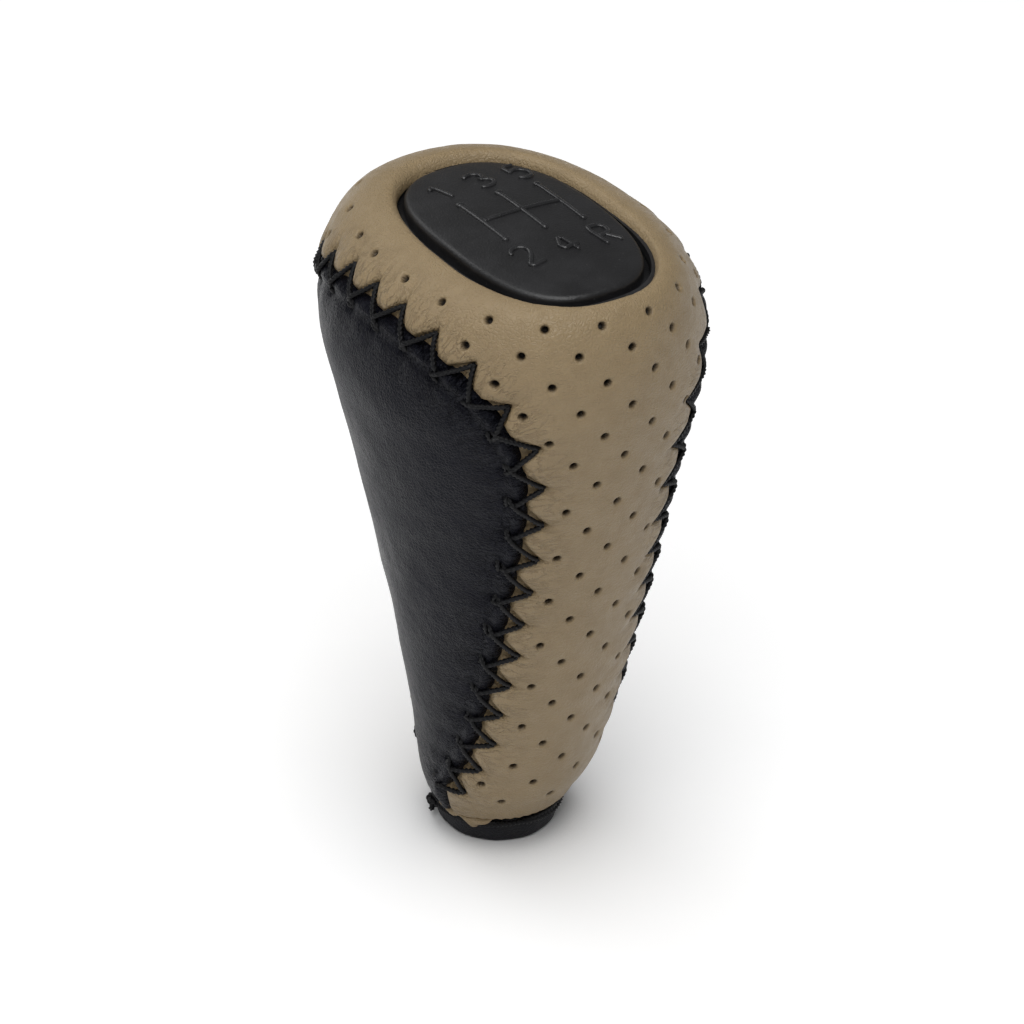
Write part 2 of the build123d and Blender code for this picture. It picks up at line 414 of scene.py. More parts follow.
def add_values(obj, name, values):
    """Value for each point of the mesh, for its material to read."""
    layer = obj.data.attributes.new(name, "FLOAT", "POINT")
    layer.data.foreach_set("value", np.asarray(values, np.float32))


def inside(polygon, points):
    """Which points lie inside a closed outline."""
    x, y = points[:, 0], points[:, 1]
    result = np.zeros(len(points), bool)
    for (xa, ya), (xb, yb) in zip(polygon, np.roll(polygon, -1, axis=0)):
        if ya != yb:
            result ^= ((ya > y) != (yb > y)) & (x < (xb - xa) * (y - ya) / (yb - ya) + xa)
    return result


def fill_flat(points, chains):
    """Triangles over flat points, with chains of points kept as edges."""
    coords = [Vector(p) for p in points]
    edges = []
    for chain in chains:
        start = len(coords)
        coords += [Vector(p) for p in chain]
        edges += [(start + k, start + k + 1) for k in range(len(chain) - 1)]
    verts, _, faces, *_ = delaunay_2d_cdt(coords, edges, [], 0, 1e-4)
    return np.array([(v.x, v.y) for v in verts]), np.array([f for f in faces if len(f) == 3])


def drop_unused(flat, faces):
    used = np.unique(faces)
    order = np.full(len(flat), -1)
    order[used] = np.arange(len(used))
    return flat[used], order[faces]


def lattice(skin, low, high, pitch):
    """Staggered points over the skin between two rises, about a pitch apart."""
    points = []
    rise = low
    odd = False
    while rise <= high:
        fine = 0.55 if rise > skin.crest - 5.0 or rise < 9.0 else 1.0
        around = np.linspace(-np.pi, np.pi, 721)
        run = Seam.runs(skin.at(around, np.full(around.size, rise)))
        count = max(int(run[-1] / pitch), 12)
        places = (np.arange(count) + (0.5 if odd else 0.25)) / count * run[-1]
        points.append(np.stack([np.interp(places, run, around), np.full(count, rise)], axis=1))
        rise += 0.87 * pitch * fine
        odd = not odd
    return np.concatenate(points)


def hole_places(skin, seam, leather):
    """Turn and rise of each punched hole: staggered rows from the rim down, clear of the seam."""
    pitch, row_pitch, margin = mm(leather.hole_pitch), mm(leather.row_pitch), mm(leather.hole_margin)
    rise = skin.rise_at(HOLE_TOP)
    places = []
    row = 0
    while rise > skin.rise_at(HOLE_BOTTOM):
        around = np.linspace(0.0, np.pi, 400)
        run = Seam.runs(skin.at(around, np.full(around.size, rise)))
        first = pitch / 2.0 if row % 2 == 0 else 0.0
        split = np.interp(HOLE_SPLIT, around, run)
        from_rear = np.arange(first, split, pitch)
        from_front = run[-1] - np.arange(first or pitch, run[-1] - split - 0.6 * pitch, pitch)
        spots = np.interp(np.concatenate([from_rear, from_front]), run, around)
        both = np.concatenate([spots, -spots[spots > 0.0]])
        wobble = 0.004 * np.sin(both * 37.0 + row * 2.1)
        places.append(np.stack([both + wobble, rise + 6.0 * wobble], axis=1))
        rise -= row_pitch
        row += 1
    places = np.concatenate(places)
    _, aside = seam.measure(skin.over(places))
    return places[aside > margin]


def beige_height(seam, leather, run, aside):
    """Lift of the beige leather near the seam: teeth puffed between notches over a turned hem."""
    edge = aside - seam.notch(run) - 0.1
    index, offset = seam.stitch(run)
    from_tip = run - seam.tip(index)
    hem = -mm(leather.hem_depth)
    inward = np.clip(edge, 0.0, None)
    roll = 1.0 - np.exp(-((inward / 0.36) ** 1.4))
    pillow = 0.4 + 0.6 * np.sin(np.pi * from_tip / seam.pitch) ** 2
    puff = mm(leather.puff) * pillow * (inward / 1.7) * np.exp(1.0 - inward / 1.7)
    pinch = -0.42 * hill(from_tip, 0.0, 0.6) * np.exp(-np.clip(aside - seam.reach, 0.0, None) / 1.4)
    pinch = np.where(aside > 0.6 * seam.reach, pinch, 0.0)
    laced = seam.laced(run)
    on_tooth = hem * (1.0 - roll) + puff * (0.35 + 0.65 * laced) + pinch * laced
    in_notch = hem - 0.12 * np.clip(-edge, 0.0, 1.0)
    return np.where(edge > 0.0, on_tooth, in_notch)


def pit_depth(radius, hole):
    """Sink of the leather round a punched hole."""
    return np.interp(radius / hole, PIT_SHARE, PIT_SINK)


def perforated_leather(skin, seam, leather):
    """Beige leather in one piece: rear and front tongues joined round the rim, punched and notched."""
    holes = hole_places(skin, seam, leather)
    radius = mm(leather.hole_radius)
    run = np.arange(seam.run[0], seam.run[-1], 0.3)
    notch = seam.notch(run)
    strips = []
    for edge in TOOTH_STRIPS:
        aside = notch + edge
        kept = aside > -0.45
        strips.append(seam.strip(run[kept], aside[kept]))
    strips = np.concatenate(strips)
    border = seam.strip(run, -0.6)
    strips = strips[(strips[:, 1] > 0.15) & (strips[:, 1] < skin.top - 0.15)]
    strips = np.concatenate([strips, strips * (-1.0, 1.0)])
    tree = tree_of(skin.over(holes))

    def hole_distance(flat):
        return np.array([tree.find(p)[2] for p in skin.over(flat)])

    strips = strips[hole_distance(strips) > 2.0 * radius]
    by_turn, by_rise = skin.slopes(holes[:, 0], holes[:, 1])
    turn_size = np.linalg.norm(by_turn, axis=1)
    rise_size = np.linalg.norm(by_rise, axis=1)
    rings = [holes]
    for share, count in HOLE_RINGS:
        for k in range(count):
            angle = 2.0 * np.pi * (k + 0.5 * (count == 12)) / count
            shift = np.stack([np.cos(angle) / turn_size, np.sin(angle) / rise_size], axis=1) * share * radius
            rings.append(holes + shift)
    rings = np.concatenate(rings)
    ring_run, ring_aside = seam.measure(skin.over(rings))
    rings = rings[ring_aside > seam.notch(ring_run) + 0.3]
    open_ground = lattice(skin, 0.6, skin.top - 0.3, 1.35)
    open_ground = open_ground[np.abs(open_ground[:, 0]) < np.pi - 0.03]
    _, aside = seam.measure(skin.over(open_ground))
    open_ground = open_ground[aside > seam.reach + 1.2]
    open_ground = open_ground[hole_distance(open_ground) > 2.5 * radius]
    flat_scale = np.array([FLAT_SCALE, 1.0])
    foot_turns = np.linspace(-np.pi, np.pi, 160)
    sides = np.linspace(0.0, skin.top, 110)
    chains = [
        border * flat_scale,
        border * flat_scale * (-1.0, 1.0),
        np.stack([foot_turns * FLAT_SCALE, np.zeros(foot_turns.size)], axis=1),
        np.stack([foot_turns * FLAT_SCALE, np.full(foot_turns.size, skin.top)], axis=1),
        np.stack([np.full(sides.size, -np.pi * FLAT_SCALE), sides], axis=1),
        np.stack([np.full(sides.size, np.pi * FLAT_SCALE), sides], axis=1),
    ]
    flat, faces = fill_flat(np.concatenate([strips, rings, open_ground]) * flat_scale, chains)
    middle = flat[faces].mean(axis=1)
    leaf = border * flat_scale
    keep = ~(inside(leaf, middle) | inside(leaf * (-1.0, 1.0), middle))
    flat, faces = drop_unused(flat, faces[keep])
    turn, rise = flat[:, 0] / FLAT_SCALE, flat[:, 1]
    base = skin.at(turn, rise)
    run, aside = seam.measure(base)
    far = np.array([tree.find(p)[2] for p in base])
    lift = beige_height(seam, leather, run, aside) + pit_depth(far, radius)
    lift += 0.16 * unevenness(base, 9.0, 1.0) + 0.05 * unevenness(base, 3.0, 2.0)
    lift *= np.clip((skin.top - rise) / 1.0, 0.2, 1.0)
    lift -= 0.45 * (1.0 + np.cos(turn)) * np.exp(-(((rise - skin.crest - 0.8) / 3.4) ** 2))
    obj = new_object("beige_leather", base + skin.normal(turn, rise) * lift[:, None], faces)
    add_values(obj, "run", run)
    add_values(obj, "aside", aside)
    # Marks the punched holes, which the finish darkens with painted shade
    add_values(obj, "pit", np.clip(1.35 - far / radius, 0.0, 1.0) * 2.0)
    return obj


def black_height(seam, leather, run, aside):
    """Lift of the side panel near the seam: a rolled lip that the thread draws in at each stitch."""
    inward = -aside
    lip = mm(leather.lip)
    edge = -0.95 * np.exp(-((np.clip(inward + BLACK_LAP, 0.0, None) / 0.45) ** 1.4))
    ripple = 0.62 + 0.38 * np.cos(2.0 * np.pi * run / seam.pitch + np.pi)
    roll = lip * ripple * hill(inward, 1.05, 0.85)
    groove = -0.14 * hill(inward, 2.5, 0.5)
    draw = np.abs((run / seam.pitch + 0.5) % 1.0 - 0.5) * seam.pitch
    dimple = -0.42 * hill(draw, 0.0, 0.8) * hill(inward, 2.2, 0.8)
    fold = 0.1 * np.cos(2.0 * np.pi * run / seam.pitch) * hill(inward, 4.0, 1.6)
    laced = seam.laced(run)
    return edge + roll + (groove + dimple - fold) * laced


def side_leather(name, skin, seam, leather, side):
    """Black side panel on the left (-1) or the right (1)."""
    run = np.arange(seam.run[0], seam.run[-1], 0.35)
    strips = np.concatenate([seam.strip(run, -inward) for inward in HEM_STRIPS])
    strips = strips[strips[:, 1] > 0.15]
    border = seam.strip(run, BLACK_LAP)
    ground = lattice(skin, 0.6, skin.rise_at(ARCH_TOP), 1.5)
    ground = ground[ground[:, 0] < 0.0]
    _, aside = seam.measure(skin.over(ground))
    ground = ground[aside < -5.6]
    flat_scale = np.array([FLAT_SCALE, 1.0])
    foot = np.linspace(border[0, 0], border[-1, 0], 20)
    chains = [border * flat_scale, np.stack([foot * FLAT_SCALE, np.zeros(foot.size)], axis=1)]
    flat, faces = fill_flat(np.concatenate([strips, ground]) * flat_scale, chains)
    faces = faces[inside(border * flat_scale, flat[faces].mean(axis=1))]
    flat, faces = drop_unused(flat, faces)
    turn, rise = flat[:, 0] / FLAT_SCALE, flat[:, 1]
    base = skin.at(turn, rise)
    run, aside = seam.measure(base)
    lift = black_height(seam, leather, run, aside)
    lift += 0.22 * unevenness(base, 11.0, 5.0 + side) + 0.06 * unevenness(base, 3.5, 8.0 + side)
    points = base + skin.normal(turn, rise) * lift[:, None]
    if side > 0:
        points = points * (-1.0, 1.0, 1.0)
        faces = faces[:, ::-1]
    obj = new_object(name, points, faces)
    add_values(obj, "run", run)
    add_values(obj, "aside", -aside)
    return obj


def grid_quads(rows, cols, round_rows=False, round_cols=False, flip=False):
    """Quads between neighbouring rows and columns of points, closed into rings where asked."""
    row = np.arange(rows if round_rows else rows - 1)[:, None]
    col = np.arange(cols if round_cols else cols - 1)[None]
    next_row, next_col = (row + 1) % rows, (col + 1) % cols
    corners = [row * cols + col, row * cols + next_col, next_row * cols + next_col, next_row * cols + col]
    if flip:
        corners = corners[:1] + corners[:0:-1]
    return np.stack(corners, axis=-1).reshape(-1, 4).tolist()


def grid_caps(rows, cols, flip=False):
    """First and last row of points as faces that close the ends."""
    first, last = list(range(cols)), list(range((rows - 1) * cols, rows * cols))
    return [first, last[::-1]] if flip else [first[::-1], last]


def resampled(path, step, least):
    """Runs, points and directions at even steps along a path."""
    path = np.asarray(path, float)
    run = Seam.runs(path)
    places = np.linspace(0.0, run[-1], max(int(run[-1] / step), least))
    line = np.stack([np.interp(places, run, column) for column in path.T], axis=1)
    along = np.gradient(line, axis=0)
    return places, line, along / np.linalg.norm(along, axis=1, keepdims=True)


def rope(points, radius, twist, strands=3, sides=15, step=0.15):
    """Twisted thread along points: rings with a lobe for each strand, closed at both ends."""
    places, line, along = resampled(points, step, 4)
    side = np.zeros_like(line)
    start = np.cross(along[0], (0.3, 0.5, 0.81))
    side[0] = start / np.linalg.norm(start)
    for k in range(1, len(line)):
        carried = side[k - 1] - along[k] * side[k - 1].dot(along[k])
        side[k] = carried / np.linalg.norm(carried)
    up = np.cross(along, side)
    angle = np.linspace(0.0, 2.0 * np.pi, sides, endpoint=False)
    phase = angle[None, :] - 2.0 * np.pi * places[:, None] / twist
    size = radius * (0.86 + 0.24 * np.cos(strands * phase))
    size[0] *= 0.4
    size[-1] *= 0.4
    rings = (
        line[:, None]
        + (size * np.cos(angle))[..., None] * side[:, None]
        + (size * np.sin(angle))[..., None] * up[:, None]
    )
    count = len(line)
    faces = grid_quads(count, sides, round_cols=True) + grid_caps(count, sides)
    return rings.reshape(-1, 3), faces


def joined(parts):
    """Points and faces of several meshes as one."""
    points, faces = [], []
    start = 0
    for some, their_faces in parts:
        points.append(some)
        faces += [[start + k for k in f] for f in their_faces]
        start += len(some)
    return np.concatenate(points), faces


def smoothed(points, rounds=2):
    """Points with their corners rounded off."""
    for _ in range(rounds):
        inner = np.stack(
            [0.75 * points[:-1] + 0.25 * points[1:], 0.25 * points[:-1] + 0.75 * points[1:]], axis=1
        )
        points = np.concatenate([points[:1], inner.reshape(-1, points.shape[1]), points[-1:]])
    return points


def stitch_legs(skin, seam, lacing, leather):
    """Lines of the thread: two legs for each notch, crossed on the lip, and a bar between their holes."""
    radius = mm(lacing.radius)
    hem = mm(lacing.hem_reach)
    lip = mm(leather.lip)
    cross = 0.12 * seam.pitch
    lines = []
    for index in range(seam.count):
        tip = seam.tip(index)
        reach = seam.stitch_reach(index) - 0.1
        for way in (-1.0, 1.0):
            hole = (index + 0.5 + 0.5 * way) * seam.pitch + way * cross + 0.25 * math.sin(index * 5.1 + way)
            depth = -hem * (1.0 + 0.16 * math.sin(index * 7.7 + 2.0 * way))
            share = np.array([0.0, 0.06, 0.16, 0.3, 0.45, 0.62, 0.82, 0.94, 1.0])
            aside = depth + (reach - depth) * share
            bow = 0.35 * way * np.sin(np.pi * share)
            run = hole + (tip - hole) * share - bow
            over = 0.3 * lip + (0.2 if way > 0 else 0.04)
            lift = np.array([-0.75, -0.3, over, over + 0.04, 0.2, 0.03, -0.15, -0.4, -0.85]) + 0.5 * radius
            turn, rise = seam.place(run, aside)
            lines.append(smoothed(skin.lifted(turn, rise, lift)))
    for index in range(seam.count + 1):
        middle = index * seam.pitch
        share = np.linspace(-1.0, 1.0, 5)
        run = middle + share * (cross + 0.35)
        aside = -hem * (1.08 + 0.12 * math.sin(index * 3.3)) + 0.3 * share * math.sin(index * 9.1)
        lift = np.array([-0.7, -0.22, -0.14, -0.22, -0.7])
        turn, rise = seam.place(run, aside)
        lines.append(smoothed(skin.lifted(turn, rise, lift)))
    return lines


def lacing_thread(name, lines, lacing, side):
    """All the stitches of one seam as one piece."""
    mirror = (side * -1.0, 1.0, 1.0)
    parts = [rope(line * mirror, mm(lacing.radius), mm(lacing.twist)) for line in lines]
    return new_object(name, *joined(parts))


def lathe(profile, count, wobble=None):
    """Closed ring from a profile of (radius, level) turned round the lever axis."""
    profile = np.asarray(profile, float)
    turn = np.linspace(0.0, 2.0 * np.pi, count, endpoint=False)
    radius = profile[:, 0][None] + np.zeros((count, 1))
    level = profile[:, 1][None] + np.zeros((count, 1))
    if wobble is not None:
        more_radius, more_level = wobble(turn[:, None], np.linspace(0.0, 1.0, len(profile))[None])
        radius, level = radius + more_radius, level + more_level
    points = np.stack([radius * np.sin(turn)[:, None], -radius * np.cos(turn)[:, None], level], axis=-1)
    return points.reshape(-1, 3), grid_quads(count, len(profile), True, True, flip=True)


def band_profile():
    """Section of the rolled strip round the neck, outer side first."""
    inner = NECK_RADIUS + 0.12
    angle = np.linspace(0.0, np.pi / 2.0, 7)
    low = [(BAND_RADIUS - 0.6 + 0.75 * math.sin(a), 0.06 + 0.75 * (1.0 - math.cos(a))) for a in angle]
    high = [(BAND_RADIUS - 0.8 + 0.8 * math.cos(a), 5.0 + 0.8 * math.sin(a)) for a in angle]
    rows = [
        (BAND_RADIUS + 0.28, 1.8),
        (BAND_RADIUS + 0.26, 2.8),
        (BAND_RADIUS + 0.1, 3.6),
        (BAND_RADIUS - 0.05, 4.3),
    ]
    return low + rows + high + [(inner, 5.8), (inner, 3.0), (inner, 0.06)]


def hem_end():
    """End of the turned beige hem that shows between the band and the rear tongue."""
    turn = np.radians(np.linspace(-90.0, -38.0, 90))
    ends = 1.6 * np.abs(np.linspace(-1.0, 1.0, 90)) ** 4
    rows = []
    for share in np.linspace(0.0, 1.0, 9):
        radius = BAND_RADIUS + 0.45 + 0.85 * np.sin(np.pi * share) + 0.12 * np.sin(turn * 23.0 + 4.0 * share)
        low = 3.1 + ends + 0.45 * np.sin(turn * 9.0) + 0.3 * np.sin(turn * 21.0)
        level = low + (FOOT_BOTTOM + 0.9 - low) * share
        rows.append(np.stack([radius * np.sin(turn), -radius * np.cos(turn), level], axis=1))
    return np.concatenate(rows), grid_quads(len(rows), turn.size)


def ring_line(radius, level, start, end, sway, phase):
    turn = np.radians(np.linspace(start, end, 140))
    r = radius + 0.12 * np.sin(3.0 * turn + phase)
    z = level + sway * np.sin(2.0 * turn + phase) + 0.1 * np.sin(7.0 * turn + 2.0 * phase)
    return np.stack([r * np.sin(turn), -r * np.cos(turn), z], axis=1)


def knot_line(centre, size):
    """Overhand knot as a small trefoil."""
    t = np.linspace(0.0, 2.0 * np.pi, 60)
    x = np.sin(t) + 2.0 * np.sin(2.0 * t)
    y = np.cos(t) - 2.0 * np.cos(2.0 * t)
    z = -np.sin(3.0 * t)
    out = np.array([centre[0], centre[1], 0.0])
    out /= np.linalg.norm(out)
    across = np.array([-out[1], out[0], 0.0])
    return (
        np.asarray(centre)
        + size / 3.0 * (x[:, None] * across + y[:, None] * np.array([0.0, 0.0, 1.0]) + z[:, None] * out)
    )


def plate_level(x, y):
    """Height of the domed top of the shift plate."""
    along = (PLATE_LENGTH**2 + DOME_ALONG**2) / (2.0 * DOME_ALONG)
    across = (PLATE_WIDTH**2 + DOME_ACROSS**2) / (2.0 * DOME_ACROSS)
    crown = CROWN - along + np.sqrt(along**2 - (y - PLATE_CENTRE) ** 2)
    return crown - across + np.sqrt(across**2 - x**2)


def oval(grow, count):
    turn = np.linspace(0.0, 2.0 * np.pi, count, endpoint=False)
    x = (PLATE_WIDTH + grow) * signed_power(np.sin(turn), 2.0 / PLATE_POWER)
    y = PLATE_CENTRE - (PLATE_LENGTH + grow) * signed_power(np.cos(turn), 2.0 / PLATE_POWER)
    return x, y


def plate_body(count=220):
    """Domed plate with a rounded edge, a wall, a thin flange and a plug below."""
    rings = []
    for share in np.linspace(0.02, 1.0, 22):
        x, y = oval(-PLATE_ROUND, count)
        x, y = x * share, PLATE_CENTRE + (y - PLATE_CENTRE) * share
        rings.append(np.stack([x, y, plate_level(x, y)], axis=1))
    for angle in np.radians((18, 36, 54, 72, 90)):
        x, y = oval(-PLATE_ROUND * (1.0 - math.sin(angle)), count)
        level = plate_level(x, y) - PLATE_ROUND * (1.0 - math.cos(angle))
        rings.append(np.stack([x, y, level], axis=1))
    below = (
        (0.0, FLANGE_TOP + 0.15),
        (0.12, FLANGE_TOP),
        (FLANGE_WIDTH - 0.08, FLANGE_TOP),
        (FLANGE_WIDTH, FLANGE_TOP - 0.08),
        (FLANGE_WIDTH, SEAT + 0.02),
        (0.1 - PLUG_INSET, SEAT + 0.02),
        (-PLUG_INSET, SEAT - PLUG_DEPTH),
    )
    for grow, level in below:
        x, y = oval(grow, count)
        rings.append(np.stack([x, y, np.full(count, level)], axis=1))
    first, last = grid_caps(len(rings), count, flip=True)
    quads = grid_quads(len(rings), count, round_cols=True, flip=True)
    return np.concatenate(rings), [first] + quads + [last]


def ridge(path, width, height):
    """Rounded raised line on the plate along a flat path."""
    places, line, along = resampled(path, 0.14, 3)
    side = np.stack([-along[:, 1], along[:, 0]], axis=1)
    ends = np.minimum(places, places[-1] - places)
    taper = np.sqrt(np.clip(1.0 - (1.0 - np.clip(ends / (width / 2.0), 0.0, 1.0)) ** 2, 0.02, 1.0))
    angle = np.linspace(-np.pi / 2.0, np.pi / 2.0, 9)
    flat = line[:, None] + side[:, None] * (np.sin(angle)[None] * taper[:, None] * width / 2.0)[..., None]
    lift = np.cos(angle)[None] ** 0.7 * height * taper[:, None] - 0.06
    points = np.stack([flat[..., 0], flat[..., 1], plate_level(flat[..., 0], flat[..., 1]) + lift], axis=-1)
    rows, cols = points.shape[:2]
    return points.reshape(-1, 3), grid_quads(rows, cols, flip=True) + grid_caps(rows, cols, flip=True)


def arc(centre, radius, start, end, count=14):
    angle = np.radians(np.linspace(start, end, count))
    return [(centre[0] + radius[0] * math.cos(a), centre[1] + radius[1] * math.sin(a)) for a in angle]


def digit_strokes():
    """Strokes of the gate's numbers in a box one unit high, about a middle point."""
    return {
        "1": [[(-0.16, 0.30), (0.06, 0.5), (0.06, -0.5)]],
        "2": [arc((0.0, 0.22), (0.28, 0.28), 170, -25) + [(0.16, -0.06), (-0.3, -0.5), (0.34, -0.5)]],
        "3": [arc((-0.02, 0.25), (0.27, 0.25), 150, -80) + arc((-0.02, -0.24), (0.31, 0.26), 80, -150)],
        "4": [[(0.12, -0.5), (0.12, 0.5), (-0.34, -0.2), (0.36, -0.2)]],
        "5": [[(0.28, 0.5), (-0.2, 0.5), (-0.26, 0.06)] + arc((-0.02, -0.17), (0.31, 0.33), 130, -150)],
        "R": [
            [(-0.26, -0.5), (-0.26, 0.5), (0.04, 0.5)]
            + arc((0.04, 0.24), (0.26, 0.26), 90, -90)
            + [(-0.26, -0.02)],
            [(0.0, -0.02), (0.32, -0.5)],
        ],
    }


def gate_and_numbers(plate):
    """Raised gate lines with dots at their ends, and the numbers of the gears."""
    width, relief = mm(plate.line_width), mm(plate.relief)
    arm, column = mm(plate.gate_arm), mm(plate.gate_column)
    middle = np.array([mm(plate.gate_right), PLATE_CENTRE + mm(plate.gate_forward)])
    parts = [ridge([middle + (-column, 0.0), middle + (column, 0.0)], width, relief)]
    for k in (-1, 0, 1):
        parts.append(ridge([middle + (k * column, -arm), middle + (k * column, arm)], width, relief))
        for end in (-1, 1):
            dot = middle + (k * column, end * arm)
            size = 0.62 if end > 0 else 0.5
            parts.append(ridge([dot - (0.0, size), dot + (0.0, size)], 2.0 * size, relief * 1.3))
    tall, offset = mm(plate.digit_height), mm(plate.digit_offset)
    strokes = digit_strokes()
    c, s = math.cos(plate.digit_turn), math.sin(plate.digit_turn)
    turned = np.array([[c, s], [-s, c]])
    for label, k, end in (("1", -1, 1), ("3", 0, 1), ("5", 1, 1), ("2", -1, -1), ("4", 0, -1), ("R", 1, -1)):
        centre = middle + (k * column, end * offset)
        for stroke in strokes[label]:
            path = smoothed(np.array(stroke), 1) @ turned * tall + centre
            parts.append(ridge(path, 0.95 * width, relief * 1.15))
    return joined(parts)


def node(tree, kind, **values):
    """New node with its plain properties and unlinked sockets set by name."""
    made = tree.nodes.new(kind)
    for key, value in values.items():
        if hasattr(made, key):
            setattr(made, key, value)
        else:
            made.inputs[key.replace("_", " ")].default_value = value
    return made


def new_finish(name):
    material = bpy.data.materials.new(name)
    material.use_nodes = True
    tree = material.node_tree
    shader = tree.nodes["Principled BSDF"]
    return material, tree, shader


def noise_at(tree, vector, scale, detail=3.0, roughness=0.55, distortion=0.0):
    made = node(
        tree, "ShaderNodeTexNoise", Scale=scale, Detail=detail, Roughness=roughness, Distortion=distortion
    )
    tree.links.new(vector, made.inputs["Vector"])
    return made.outputs["Fac"]


def ramp(tree, value, low, high, to_low=0.0, to_high=1.0):
    made = node(
        tree, "ShaderNodeMapRange", From_Min=low, From_Max=high, To_Min=to_low, To_Max=to_high
    )
    tree.links.new(value, made.inputs["Value"])
    return made.outputs["Result"]


def combine(tree, operation, a, b):
    made = node(tree, "ShaderNodeMath", operation=operation)
    for socket, value in zip(made.inputs, (a, b)):
        if isinstance(value, (int, float)):
            socket.default_value = value
        else:
            tree.links.new(value, socket)
    return made.outputs["Value"]


def blend_colour(tree, factor, a, b, mode="MIX"):
    made = tree.nodes.new("ShaderNodeMix")
    made.data_type = "RGBA"
    made.blend_type = mode
    sockets = [s for s in made.inputs if s.type == "RGBA"]
    for socket, value in zip(sockets, (a, b)):
        if isinstance(value, tuple):
            socket.default_value = (*value, 1.0)
        else:
            tree.links.new(value, socket)
    tree.links.new(factor, made.inputs["Factor"])
    return next(s for s in made.outputs if s.type == "RGBA")


def bump(tree, height, strength, distance, under=None):
    made = node(tree, "ShaderNodeBump", Strength=strength, Distance=distance)
    tree.links.new(height, made.inputs["Height"])
    if under is not None:
        tree.links.new(under, made.inputs["Normal"])
    return made.outputs["Normal"]


def place_vector(tree):
    return node(tree, "ShaderNodeTexCoord").outputs["Object"]


def read_value(tree, name):
    return node(tree, "ShaderNodeAttribute", attribute_name=name).outputs["Fac"]


def grain(tree, vector, cell):
    """Pebbled leather grain: soft cells of two sizes with pores between them."""
    wander = noise_at(tree, vector, 0.6 / cell, detail=2.0)
    push = node(tree, "ShaderNodeVectorMath", operation="MULTIPLY_ADD")
    tree.links.new(wander, push.inputs[0])
    push.inputs[1].default_value = (cell, cell, cell)
    tree.links.new(vector, push.inputs[2])
    cells = node(tree, "ShaderNodeTexVoronoi", feature="DISTANCE_TO_EDGE", Scale=1.0 / cell)
    tree.links.new(push.outputs["Vector"], cells.inputs["Vector"])
    pebbles = ramp(tree, cells.outputs["Distance"], 0.0, 0.22)
    fine = noise_at(tree, vector, 3.2 / cell, detail=4.0)
    return combine(tree, "ADD", pebbles, combine(tree, "MULTIPLY", fine, 0.9))


def seam_creases(tree, stretch):
    """Fine creases that run off from the stitches square to the seam."""
    run = read_value(tree, "run")
    aside = read_value(tree, "aside")
    joined_values = node(tree, "ShaderNodeCombineXYZ")
    tree.links.new(combine(tree, "MULTIPLY", run, 0.9), joined_values.inputs["X"])
    tree.links.new(combine(tree, "MULTIPLY", aside, stretch), joined_values.inputs["Y"])
    lines = noise_at(tree, joined_values.outputs["Vector"], 1.0, detail=3.0, roughness=0.6, distortion=0.4)
    lines = ramp(tree, combine(tree, "ABSOLUTE", combine(tree, "SUBTRACT", lines, 0.5), 0.0), 0.0, 0.05)
    near = ramp(tree, aside, 2.0, 8.5, 1.0, 0.0)
    return lines, near


def worn_tone(tree, factor, fresh, gain):
    """Colour that brightens by a gain where the factor is high."""
    return blend_colour(tree, factor, tuple(fresh), tuple(gain * c for c in fresh))


def leather_normal(tree, vector, cell, creases, crease_bump, swell, swell_bump):
    """Grain, seam creases and slow swell of leather; each bump is a strength and a depth."""
    normal = bump(tree, grain(tree, vector, cell), 0.5, 0.00012)
    normal = bump(tree, creases, *crease_bump, normal)
    return bump(tree, noise_at(tree, vector, swell), *swell_bump, normal)


def dress(tree, shader, tone, roughness, normal, specular):
    """Links the colour, roughness and normal of a finish and sets how strongly it mirrors."""
    for name, value in (("Base Color", tone), ("Roughness", roughness), ("Normal", normal)):
        tree.links.new(value, shader.inputs[name])
    shader.inputs["Specular IOR Level"].default_value = specular


def beige_finish(leather):
    """Smooth beige leather with a fine grain, creases by the stitches, painted shade in the creases and the
    punched holes, and random darker patches.
    """
    material, tree, shader = new_finish("beige_leather")
    vector = place_vector(tree)
    lines, near = seam_creases(tree, 0.28)
    broad = noise_at(tree, vector, 95.0)
    patches = noise_at(tree, vector, 420.0, detail=4.0)
    # Painted shade darkens the crease lines near the seam; the broad and patch noise add random tone
    painted_crease_shade = combine(tree, "MULTIPLY", combine(tree, "SUBTRACT", 1.0, lines), near)
    shade_and_patches = combine(tree, "MULTIPLY", painted_crease_shade, 0.5)
    shade_and_patches = combine(tree, "ADD", shade_and_patches, ramp(tree, broad, 0.35, 0.75, 0.0, 0.16))
    shade_and_patches = combine(tree, "ADD", shade_and_patches, ramp(tree, patches, 0.4, 0.8, 0.0, 0.18))
    tone = blend_colour(tree, shade_and_patches, tuple(leather.beige), tuple(leather.beige_shade_and_tone))
    # Painted shade in the punched holes
    tone = blend_colour(tree, read_value(tree, "pit"), tone, HOLE_SHADE)
    creases = combine(tree, "MULTIPLY", lines, near)
    normal = leather_normal(tree, vector, 0.00055, creases, (0.65, 0.00018), 260.0, (0.35, 0.0005))
    dress(tree, shader, tone, ramp(tree, patches, 0.3, 0.7, 0.34, 0.48), normal, 0.42)
    return material


def black_finish(leather):
    """Black leather with a close grain and creases drawn in by the lacing."""
    material, tree, shader = new_finish("black_leather")
    vector = place_vector(tree)
    lines, near = seam_creases(tree, 0.4)
    broad = noise_at(tree, vector, 110.0, detail=4.0)
    tone = worn_tone(tree, ramp(tree, broad, 0.35, 0.75, 0.0, 0.6), leather.black, 2.1)
    creases = combine(tree, "MULTIPLY", lines, near)
    normal = leather_normal(tree, vector, 0.0005, creases, (0.9, 0.0003), 300.0, (0.6, 0.0006))
    dress(tree, shader, tone, ramp(tree, broad, 0.3, 0.7, 0.3, 0.44), normal, 0.14)
    shader.inputs["Specular Tint"].default_value = (0.82, 0.85, 1.0, 1.0)
    return material


